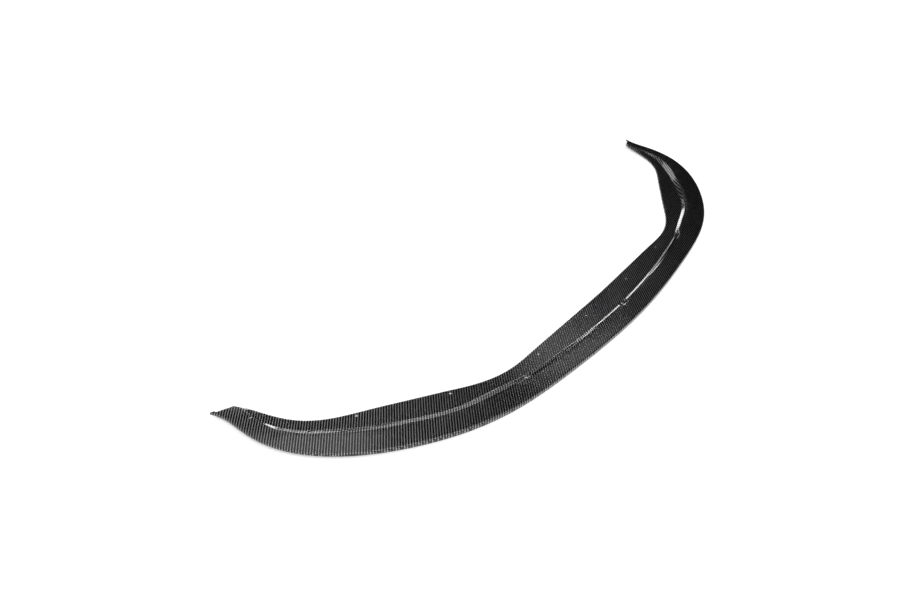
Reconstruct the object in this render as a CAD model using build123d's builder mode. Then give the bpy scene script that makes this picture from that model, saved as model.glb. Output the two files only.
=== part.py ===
from build123d import *
import os
from math import pi, sin

# Front splitter lip: one moulded woven laminate that bolts up under a front bumper.
# Units are millimetres. X runs across the car, -Y points ahead of the car and +Z is up.
# The lip stands on the lower edges of its front rim and of its turned-down rear edge, at Z = 0.

# Overall plan
lip_width = 1800.0          # tip to tip
lip_depth = 535.0           # nose to tips
half_width = lip_width / 2
nose_y = -lip_depth / 2
tip_y = lip_depth / 2

# Front edge, right half, from the nose outwards to the tip
nose_half_width = 300.0     # gently curved middle of the nose
nose_setback = 20.5
shoulder_inset = 380.0      # where the nose starts to sweep back, in from the tip
shoulder_setback = 63.5
sweep_inset = 220.7
sweep_setback = 143.0
corner_inset = 92.0         # rounded outer corner
corner_setback = 253.7
cheek_inset = 38.0          # straight arm behind the corner
cheek_length = 197.0
arm_inset = 16.0
arm_length = 108.0

# Rear edge of the mounting band, right half
middle_width = 124.0        # nose to rear edge, on the centre line
bend_x = 418.0              # obtuse bend beside the middle stretch
bend_setback = 132.0
kink_inset = 121.0          # obtuse bend at the corner
kink_length = 180.0
tip_width = 40.0
tip_slant = 18.0
middle_radius = 2000.0
bend_radius = 260.0
kink_radius = 110.0
rear_lead = 0.04            # cross-sections lean outwards by this share of the half length

# Laminate and edges
wall = 3.0
rim_height = 10.0           # top of the turned-down front rim
return_drop = 4.0           # turned-down rear edge
rear_round = 2.5
rim_round = 2.5
crease_round = 1.2
edge_bevel = 0.29           # share of an edge rounding where its two flats meet
dish_width = 17.0           # slightly hollow foot of the blade beside its rear crease
dish_share = 0.35

# Pockets in the bead, one each side, with sloping ends
pocket_share = 0.341        # of the way from the nose to the tip
pocket_length = 33.0        # along the floor
pocket_depth = 24.0
pocket_round = 8.0
pocket_floor = 0.5          # above the band
flare = 1.05                # run of a sloping wall for each millimetre that it rises
cut_rise = 2 * rim_height   # height of the cuts, well clear of the bead

# Notch in the blade's rear shoulder on the centre line, with sloping walls
notch_length = 25.5         # along the floor
notch_depth = 12.0
notch_round = 5.0
notch_floor = 0.5           # below the band

# Cut-back ends of the arms, each with a small outer nose
nose_tab = 11.0
cutback_depth = 4.0
cutback_round = 0.8 * cutback_depth

# Screw holes: share of the way from the nose to the tip, and distance in from the rear edge
screw_radius = 3.25
band_screws = [(0.089, 25.0), (0.262, 18.0), (0.489, 10.7), (0.697, 10.0), (0.796, 30.5), (0.929, 20.5)]
pocket_screw_share = 0.333
pocket_screw_setback = 8.5  # behind the blade's crease

# Cross-sections at equal steps along the front edge, from the nose to the tip.
# Widths in plan: the blade, the groove behind it, the bead's front face and the bead's rear face.
# Heights: the blade's rear crease, the groove, the bead's crest, the band beside it, the rear edge
# and the lower edge of the front rim.
SECTIONS = [
    (49.0, 4.0, 3.0, 3.5, 10.0, 9.0, 7.6, 4.0, 4.0, 0.0),
    (49.0, 4.0, 3.0, 3.5, 10.0, 9.0, 7.6, 4.0, 4.0, 0.0),
    (48.0, 4.0, 3.0, 4.0, 10.0, 7.8, 8.4, 4.0, 4.0, 0.0),
    (47.5, 3.5, 4.0, 5.0, 10.2, 8.2, 12.0, 4.0, 4.0, 0.0),
    (49.5, 2.5, 5.5, 6.0, 10.8, 9.2, 15.0, 4.0, 4.0, 0.0),
    (53.0, 2.5, 7.0, 9.0, 11.0, 9.6, 15.5, 4.0, 4.0, 0.0),
    (51.2, 2.5, 7.0, 7.0, 11.0, 9.8, 14.0, 4.0, 4.0, 0.0),
    (54.0, 2.5, 7.5, 7.0, 11.4, 10.5, 13.6, 4.0, 4.0, 0.5),
    (52.7, 2.5, 6.0, 12.0, 12.4, 11.8, 13.4, 4.0, 4.0, 1.5),
    (46.0, 3.0, 3.5, 17.0, 12.8, 12.5, 12.9, 4.0, 4.0, 3.0),
    (36.0, 3.0, 3.0, 12.0, 12.0, 11.6, 11.7, 5.6, 5.4, 4.0),
    (30.0, 3.0, 3.0, 5.0, 11.0, 10.8, 10.8, 10.0, 8.6, 4.0),
    (22.0, 3.0, 3.0, 5.0, 10.6, 10.6, 10.5, 10.2, 9.5, 4.0),
]
SPANS = len(SECTIONS) - 1


def eased_outline(top, under):
    """Closed outline. A top corner (s, z, rounding) is eased by a curve, or is sharp where that is 0.
    Where it is None, one long curve sweeps past the corner between its neighbours."""
    here, sweep = Vector(*top[0][:2]), None
    for i in range(1, len(top) - 1):
        corner = Vector(*top[i][:2])
        if top[i][2] is None:
            sweep = corner
            continue
        before = Vector(*top[i - 1][:2]) - corner
        after = Vector(*top[i + 1][:2]) - corner
        reach = min(top[i][2], 0.4 * before.length, 0.4 * after.length)
        start = corner + before.normalized() * reach
        end = corner + after.normalized() * reach
        if sweep:
            Bezier(here, sweep, start)
            sweep = None
        else:
            Line(here, start)
        if reach:
            Bezier(start, corner, end)
        here = end
    Polyline(here, top[-1][:2], *under, top[0][:2])


def lip_section(length, blade, groove, face, slope, crease_z, groove_z, crest_z, band_z, rear_z, rim_z):
    """Corners of one cross-section, from the rear edge (s = 0) to the front rim (s = length)."""
    crease_s = length - blade
    groove_s = crease_s - groove
    crest_s = groove_s - face
    foot_s = crest_s - slope
    dish_s = crease_s + min(dish_width, 0.4 * blade)
    dish_z = rim_height + (crease_z - rim_height) * dish_share
    rear_bevel = edge_bevel * rear_round
    rim_bevel = edge_bevel * rim_round
    top = [
        (0.0, rear_z - return_drop, 0.0),
        (0.0, rear_z - rear_round, 0.0),
        (rear_bevel, rear_z - rear_bevel, 0.0),
        (rear_round, rear_z, 0.0),
        (foot_s, band_z, 0.0),
        (crest_s, crest_z, crease_round),
        (groove_s, groove_z, 0.0),
        (crease_s, crease_z, crease_round),
        (dish_s, dish_z, None),
        (length - rim_round, rim_height, 0.0),
        (length - rim_bevel, rim_height - rim_bevel, 0.0),
        (length, rim_height - rim_round, 0.0),
        (length, rim_z, 0.0),
    ]
    under = [
        (length - wall, rim_z),
        (length - wall, rim_height - wall),
        (crease_s + wall, crease_z - wall),
        (crease_s + wall, band_z - wall),
        (wall, rear_z - wall),
        (wall, rear_z - return_drop),
    ]
    return top, under


front_points = [
    (0.0, nose_y),
    (nose_half_width, nose_y + nose_setback),
    (half_width - shoulder_inset, nose_y + shoulder_setback),
    (half_width - sweep_inset, nose_y + sweep_setback),
    (half_width - corner_inset, nose_y + corner_setback),
    (half_width - cheek_inset, tip_y - cheek_length),
    (half_width - arm_inset, tip_y - arm_length),
    (half_width, tip_y),
]
with BuildLine() as front_edge:
    Spline([(-x, y) for x, y in reversed(front_points[1:])] + front_points)

rear_points = [
    (bend_x, nose_y + bend_setback),
    (half_width - kink_inset, tip_y - kink_length),
    (half_width - tip_width, tip_y - tip_slant),
]
with BuildLine() as rear_edge:
    FilletPolyline(
        [(-x, y) for x, y in reversed(rear_points)] + [(0.0, nose_y + middle_width)] + rear_points,
        radius=[kink_radius, bend_radius, middle_radius, bend_radius, kink_radius],
    )


def along(line, share):
    """Point on a plan curve, from -1 at the left tip through 0 at the nose to 1 at the right tip."""
    curve = line.wires()[0]
    return curve.position_at(curve.length * (0.5 + share / 2), PositionMode.LENGTH)


def rib(share):
    """Rear point of a cross-section and the vector from it to the front edge."""
    rear = along(rear_edge, share + rear_lead * sin(pi * share))
    return rear, along(front_edge, share) - rear


with BuildPart() as splitter_lip:
    for step in range(-SPANS, SPANS + 1):
        rear, across = rib(step / SPANS)
        with BuildSketch(Plane(origin=rear, x_dir=across, z_dir=across.cross(Vector(0, 0, 1)))):
            with BuildLine():
                eased_outline(*lip_section(across.length, *SECTIONS[abs(step)]))
            make_face()
    loft()

    screws = []
    pocket_row = SECTIONS[round(pocket_share * SPANS)]
    for side in (-1, 1):
        # Pocket: the bead is interrupted around a screw
        rear, across = rib(side * pocket_share)
        toward_front = across.normalized()
        middle = rear + across - toward_front * (pocket_row[0] + (pocket_depth + pocket_row[1]) / 2)
        middle.Z = pocket_row[7] + pocket_floor
        floor_plane = Plane(origin=middle, x_dir=across, z_dir=(0, 0, 1))
        with BuildSketch(floor_plane):
            RectangleRounded(pocket_depth, pocket_length, pocket_round)
        with BuildSketch(floor_plane.offset(cut_rise)):
            RectangleRounded(pocket_depth, pocket_length + 2 * flare * cut_rise, pocket_round)
        loft(ruled=True, mode=Mode.SUBTRACT)
        rear, across = rib(side * pocket_screw_share)
        screws.append(rear + across - across.normalized() * (pocket_row[0] + pocket_screw_setback))

        # Cut-back end of the arm, which leaves the outer nose standing
        rear, across = rib(side)
        cutback = across.length - nose_tab
        with BuildSketch(Plane(origin=rear, x_dir=across, z_dir=(0, 0, 1))):
            with Locations((cutback - half_width / 2, 0)):
                RectangleRounded(half_width, 2 * cutback_depth, cutback_round)
        extrude(amount=cut_rise, both=True, mode=Mode.SUBTRACT)

        for share, inset in band_screws:
            rear, across = rib(side * share)
            screws.append(rear + across.normalized() * inset)

    # Notch in the shoulder on the centre line
    centre_row = SECTIONS[0]
    floor_plane = Plane.XY.offset(centre_row[7] - notch_floor)
    notch_y = nose_y + centre_row[0] + (notch_depth + centre_row[1]) / 2
    with BuildSketch(floor_plane):
        with Locations((0, notch_y)):
            RectangleRounded(notch_length, notch_depth, notch_round)
    with BuildSketch(floor_plane.offset(cut_rise)):
        with Locations((0, notch_y)):
            spread = flare * cut_rise
            RectangleRounded(notch_length + 2 * spread, notch_depth + 2 * spread, notch_round + spread)
    loft(ruled=True, mode=Mode.SUBTRACT)
    screws.append(Vector(0, notch_y))

    # Screw holes, straight through
    with BuildSketch():
        with Locations(*[(point.X, point.Y) for point in screws]):
            Circle(screw_radius)
    extrude(amount=cut_rise, both=True, mode=Mode.SUBTRACT)

splitter_lip.part.label = "splitter_lip"

os.makedirs("parts", exist_ok=True)
export_step(splitter_lip.part, "parts/splitter_lip.step")
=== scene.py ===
import math

import bpy
from mathutils import Matrix, Vector

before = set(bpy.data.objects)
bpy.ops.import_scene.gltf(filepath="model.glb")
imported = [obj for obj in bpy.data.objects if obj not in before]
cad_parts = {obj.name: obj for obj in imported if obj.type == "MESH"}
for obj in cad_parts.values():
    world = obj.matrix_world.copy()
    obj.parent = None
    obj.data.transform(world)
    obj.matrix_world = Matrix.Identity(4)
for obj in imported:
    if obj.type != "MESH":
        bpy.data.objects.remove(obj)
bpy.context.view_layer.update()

scene = bpy.context.scene
scene.view_settings.view_transform = "Standard"

# Camera fitted to the photograph, in metres and degrees
IMAGE_WIDTH = 920
FOCAL_PIXELS = 648.0
SENSOR_WIDTH = 36.0
CLIP_START = 0.01
CAMERA_PLACE = (-1.2763, -0.7341, 1.0301)
CAMERA_TURN = 50.1
CAMERA_TILT = 38.3

# Woven laminate, lengths in metres
TOW_WIDTH = 0.0020
TOW_CROWN = 0.00012
TOW_CROWN_STRENGTH = 0.5
TWILL_REPEAT = 4.0
# The tows are all black; the warp's light grey is painted sheen for the shine its fibre direction catches
WEFT_COLOUR = (0.003, 0.003, 0.0032, 1)
WARP_PAINTED_SHEEN = (0.38, 0.38, 0.386, 1)
WEFT_ROUGHNESS = 0.42
WARP_ROUGHNESS = 0.32
FIBRE_FAN = 0.95            # how far the warp spreads its shine across the lip's depth
COAT_ROUGHNESS = 0.03
COAT_EDGE = 0.003           # rounding of the clear coat over edges
COAT_EDGE_SAMPLES = 6

# Floor
FLOOR_SIZE = 10.0
FLOOR_DROP = 0.0005
FLOOR_COLOUR = (0.8, 0.8, 0.8, 1)
FLOOR_GLOW = 0.40

# Studio light: strengths where 1 is white, directions as azimuth and elevation in degrees.
# The ceiling is bright where a ray's slanted height is above its edge, and glows faintly below that.
DIM_LIGHT = 0.015
CEILING_SLANT = (-0.39, 0.0, 1.0)
CEILING_GLOW = 0.08
CEILING_GLOW_EDGE = (0.12, 0.45)
CEILING_LIGHT = 0.90
CEILING_EDGE = (0.63, 0.71)
ZENITH_LIGHT = 1.0
ZENITH_EDGE = (65, 80)
BACKDROP_LIGHT = 0.06
BACKDROP_EDGE = (1, 8)
FRONT_FILL = (-64, 38)
FRONT_FILL_EDGE = (30, 14)
FRONT_LIGHT = 0.7

# Light panels: azimuth, elevation, half width, half height, soft edge and strength
REAR_STRIP = (43, 8, 6, 5, 1.5, 7.0)
TALL_STRIP = (48.5, 14, 1.8, 5, 1.0, 6.0)
CORNER_SOFTBOX = (58, 31, 5, 7, 2, 1.8)
SIDE_PANEL = (26, 42, 5, 3, 2.5, 0.7)
PANEL_FRONT = 0.1           # a panel shows only ahead of its own middle, from this cosine on

# Lamp beside the right arm, for the shadow on the floor
SIDE_LAMP = (-5, 36)
SIDE_LAMP_SPREAD = 25
SIDE_LAMP_LIGHT = 1.3


# Shader helpers

def link(tree, value, socket):
    """Feeds a socket from another socket, or sets it to a plain value."""
    if isinstance(value, bpy.types.NodeSocket):
        tree.links.new(value, socket)
    else:
        socket.default_value = value


def maths(tree, operation, *values):
    """Math node on sockets and numbers."""
    made = tree.nodes.new("ShaderNodeMath")
    made.operation = operation
    for slot, value in enumerate(values):
        link(tree, value, made.inputs[slot])
    return made.outputs[0]


def ramp(tree, value, low, high, to_low, to_high):
    """Smooth step of a value from one range to another."""
    made = tree.nodes.new("ShaderNodeMapRange")
    made.interpolation_type = "SMOOTHSTEP"
    link(tree, value, made.inputs["Value"])
    made.inputs["From Min"].default_value = low
    made.inputs["From Max"].default_value = high
    made.inputs["To Min"].default_value = to_low
    made.inputs["To Max"].default_value = to_high
    return made.outputs[0]


def mixed(tree, factor, first, second):
    """Mix of two values by a factor."""
    made = tree.nodes.new("ShaderNodeMix")
    link(tree, factor, made.inputs[0])
    link(tree, first, made.inputs[2])
    link(tree, second, made.inputs[3])
    return made.outputs[0]


def blank_material(name):
    """New material with an empty node tree and its output node."""
    material = bpy.data.materials.new(name)
    material.use_nodes = True
    tree = material.node_tree
    tree.nodes.clear()
    return material, tree, tree.nodes.new("ShaderNodeOutputMaterial")


# Twill laminate under a clear coat

def tow_crown(tree, place):
    """Rounded height across one tow, from 0 at its edges to 1 at its middle."""
    centred = maths(tree, "SUBTRACT", maths(tree, "MULTIPLY", maths(tree, "FRACT", place), 2.0), 1.0)
    return maths(tree, "SUBTRACT", 1.0, maths(tree, "MULTIPLY", centred, centred))


def twill_laminate():
    """Three-by-one twill of black tows under a gloss clear coat; the warp floats are painted light grey, a
    painted sheen for the light they catch.
    """
    material, tree, out = blank_material("twill_laminate")
    shader = tree.nodes.new("ShaderNodeBsdfPrincipled")
    tree.links.new(shader.outputs[0], out.inputs[0])
    coords = tree.nodes.new("ShaderNodeTexCoord")
    split = tree.nodes.new("ShaderNodeSeparateXYZ")
    tree.links.new(coords.outputs["Object"], split.inputs[0])
    across = maths(tree, "DIVIDE", split.outputs[0], TOW_WIDTH)
    along = maths(tree, "DIVIDE", split.outputs[1], TOW_WIDTH)
    diagonal = maths(tree, "SUBTRACT", maths(tree, "FLOOR", across), maths(tree, "FLOOR", along))
    warp_up = maths(tree, "LESS_THAN", maths(tree, "FLOORED_MODULO", diagonal, TWILL_REPEAT), 0.5)
    crown = mixed(tree, warp_up, tow_crown(tree, across), tow_crown(tree, along))

    # Warp floats painted light grey as painted sheen; weft floats stay near black, the tows' own colour
    colour = tree.nodes.new("ShaderNodeMix")
    colour.data_type = "RGBA"
    tree.links.new(warp_up, colour.inputs["Factor"])
    colour.inputs["A"].default_value = WEFT_COLOUR
    colour.inputs["B"].default_value = WARP_PAINTED_SHEEN
    tree.links.new(colour.outputs["Result"], shader.inputs["Base Color"])
    shader.inputs["Metallic"].default_value = 1.0
    link(tree, mixed(tree, warp_up, WEFT_ROUGHNESS, WARP_ROUGHNESS), shader.inputs["Roughness"])

    # Tows that run across the car spread their shine along Y
    shader.inputs["Anisotropic"].default_value = FIBRE_FAN
    fan = tree.nodes.new("ShaderNodeCombineXYZ")
    fan.inputs["Y"].default_value = 1.0
    tree.links.new(fan.outputs[0], shader.inputs["Tangent"])

    bump = tree.nodes.new("ShaderNodeBump")
    bump.inputs["Distance"].default_value = TOW_CROWN
    bump.inputs["Strength"].default_value = TOW_CROWN_STRENGTH
    tree.links.new(crown, bump.inputs["Height"])
    tree.links.new(bump.outputs[0], shader.inputs["Normal"])

    edges = tree.nodes.new("ShaderNodeBevel")
    edges.samples = COAT_EDGE_SAMPLES
    edges.inputs["Radius"].default_value = COAT_EDGE
    tree.links.new(edges.outputs[0], shader.inputs["Coat Normal"])
    shader.inputs["Coat Weight"].default_value = 1.0
    shader.inputs["Coat Roughness"].default_value = COAT_ROUGHNESS
    return material


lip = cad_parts["splitter_lip"]
lip.data.materials.clear()
lip.data.materials.append(twill_laminate())


# Floor, studio light and camera

def pale_floor():
    """White floor that stays white to the camera and in reflections, and keeps the shadow."""
    material, tree, out = blank_material("pale_floor")
    diffuse = tree.nodes.new("ShaderNodeBsdfDiffuse")
    diffuse.inputs["Color"].default_value = FLOOR_COLOUR
    glow = tree.nodes.new("ShaderNodeEmission")
    path = tree.nodes.new("ShaderNodeLightPath")
    seen = maths(tree, "ADD", path.outputs["Is Camera Ray"], path.outputs["Is Glossy Ray"])
    seen = maths(tree, "ADD", seen, path.outputs["Is Transmission Ray"])
    seen = maths(tree, "MINIMUM", seen, 1.0)
    link(tree, maths(tree, "MULTIPLY", seen, FLOOR_GLOW), glow.inputs["Strength"])
    both = tree.nodes.new("ShaderNodeAddShader")
    tree.links.new(diffuse.outputs[0], both.inputs[0])
    tree.links.new(glow.outputs[0], both.inputs[1])
    tree.links.new(both.outputs[0], out.inputs[0])

    half = FLOOR_SIZE / 2
    corners = [(x, y, -FLOOR_DROP) for x, y in ((-half, -half), (half, -half), (half, half), (-half, half))]
    mesh = bpy.data.meshes.new("pale_floor")
    mesh.from_pydata(corners, [], [(0, 1, 2, 3)])
    mesh.materials.append(material)
    floor = bpy.data.objects.new("pale_floor", mesh)
    scene.collection.objects.link(floor)


def facing(tree, ray, direction):
    """Cosine of the angle between a ray and a direction."""
    dot = tree.nodes.new("ShaderNodeVectorMath")
    dot.operation = "DOT_PRODUCT"
    tree.links.new(ray, dot.inputs[0])
    dot.inputs[1].default_value = direction
    return dot.outputs["Value"]


def towards(azimuth, elevation):
    """Unit vector from an azimuth, counted from +X to +Y, and an elevation."""
    turn, rise = math.radians(azimuth), math.radians(elevation)
    return Vector((math.cos(rise) * math.cos(turn), math.cos(rise) * math.sin(turn), math.sin(rise)))


def cosines(angles):
    return [math.cos(math.radians(angle)) for angle in angles]


def sines(angles):
    return [math.sin(math.radians(angle)) for angle in angles]


def softbox(tree, ray, azimuth, elevation, half_width, half_height, edge, strength):
    """Rectangular panel of light in a direction, with soft edges; sizes in degrees."""
    middle = towards(azimuth, elevation)
    across = towards(azimuth + 90, 0)
    level = ramp(tree, facing(tree, ray, middle), 0.0, PANEL_FRONT, 0.0, strength)
    for axis, half in ((across, half_width), (middle.cross(across), half_height)):
        offset = maths(tree, "ABSOLUTE", facing(tree, ray, axis))
        inside = ramp(tree, offset, *sines((half - edge, half + edge)), 1.0, 0.0)
        level = maths(tree, "MULTIPLY", level, inside)
    return level


def studio_world():
    """Dim studio under a bright slanted ceiling, with a fill in front and light panels behind."""
    world = bpy.data.worlds.new("studio")
    world.use_nodes = True
    tree = world.node_tree
    ray = tree.nodes.new("ShaderNodeTexCoord").outputs["Generated"]
    slanted = facing(tree, ray, CEILING_SLANT)
    height = facing(tree, ray, Vector((0, 0, 1)))
    front = facing(tree, ray, towards(*FRONT_FILL))
    parts = [
        ramp(tree, slanted, *CEILING_GLOW_EDGE, DIM_LIGHT, CEILING_GLOW),
        ramp(tree, slanted, *CEILING_EDGE, 0.0, CEILING_LIGHT),
        ramp(tree, height, *sines(ZENITH_EDGE), 0.0, ZENITH_LIGHT),
        ramp(tree, height, *sines(BACKDROP_EDGE), BACKDROP_LIGHT, 0.0),
        ramp(tree, front, *cosines(FRONT_FILL_EDGE), 0.0, FRONT_LIGHT),
    ]
    for panel in (REAR_STRIP, TALL_STRIP, CORNER_SOFTBOX, SIDE_PANEL):
        parts.append(softbox(tree, ray, *panel))
    level = parts[0]
    for part in parts[1:]:
        level = maths(tree, "ADD", level, part)
    background = tree.nodes["Background"]
    background.inputs["Color"].default_value = (1, 1, 1, 1)
    link(tree, level, background.inputs["Strength"])
    scene.world = world


def side_lamp():
    """Broad lamp beside the right arm that throws a soft shadow onto the floor."""
    data = bpy.data.lights.new("side_lamp", "SUN")
    data.energy = SIDE_LAMP_LIGHT
    data.angle = math.radians(SIDE_LAMP_SPREAD)
    lamp = bpy.data.objects.new("side_lamp", data)
    lamp.rotation_mode = "QUATERNION"
    lamp.rotation_quaternion = towards(*SIDE_LAMP).to_track_quat("Z", "Y")
    lamp.visible_glossy = False
    scene.collection.objects.link(lamp)


def photo_camera():
    """Camera at the photograph's place and angle."""
    data = bpy.data.cameras.new("photo_camera")
    data.sensor_width = SENSOR_WIDTH
    data.lens = FOCAL_PIXELS / IMAGE_WIDTH * SENSOR_WIDTH
    data.clip_start = CLIP_START
    camera = bpy.data.objects.new("photo_camera", data)
    turn, tilt = math.radians(CAMERA_TURN), math.radians(CAMERA_TILT)
    right = Vector((math.cos(turn), -math.sin(turn), 0))
    ahead = Vector((math.sin(turn) * math.cos(tilt), math.cos(turn) * math.cos(tilt), -math.sin(tilt)))
    turned = Matrix((right, right.cross(ahead), -ahead)).transposed().to_4x4()
    camera.matrix_world = Matrix.Translation(CAMERA_PLACE) @ turned
    scene.collection.objects.link(camera)
    scene.camera = camera


pale_floor()
studio_world()
side_lamp()
photo_camera()
